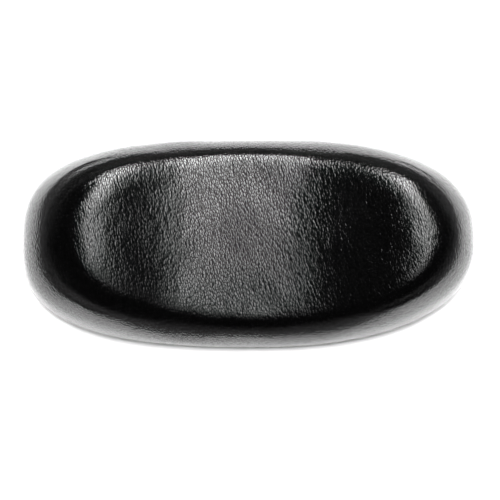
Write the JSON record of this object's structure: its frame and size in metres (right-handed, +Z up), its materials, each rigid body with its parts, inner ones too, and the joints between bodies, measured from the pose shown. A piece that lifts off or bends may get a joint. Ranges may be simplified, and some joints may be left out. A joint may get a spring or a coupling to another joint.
{
  "type": "chair armrest pad",
  "caption": "Oval saddle-shaped armrest pad: a black leather cover over foam on a ribbed carrier, with a screwed base cover and threaded inserts.",
  "frame": {"origin": "centre of the four-insert fixing pattern, on the mounting face under the pad", "axes": "+Z up towards the arm, +X towards the tapered front end, +Y towards the straighter inner side"},
  "size_m": [0.26, 0.121, 0.042],
  "materials": {
    "cover_leather": "grained, satin",
    "cushion_foam": "moulded open-cell polyurethane foam",
    "carrier_plastic": "glass-filled nylon, moulded",
    "insert_brass": "turned and knurled",
    "staple_wire": "galvanised wire",
    "cover_plastic": "fine spark-eroded texture",
    "screw_steel": "black zinc plated"
  },
  "bodies": {
    "root": {"leather_cover": "cover_leather", "foam_cushion": "cushion_foam", "carrier_pan": "carrier_plastic", "threaded_inserts": "insert_brass", "hem_staples": "staple_wire", "base_cover": "cover_plastic", "cover_screws": "screw_steel"}
  },
  "joints": []
}
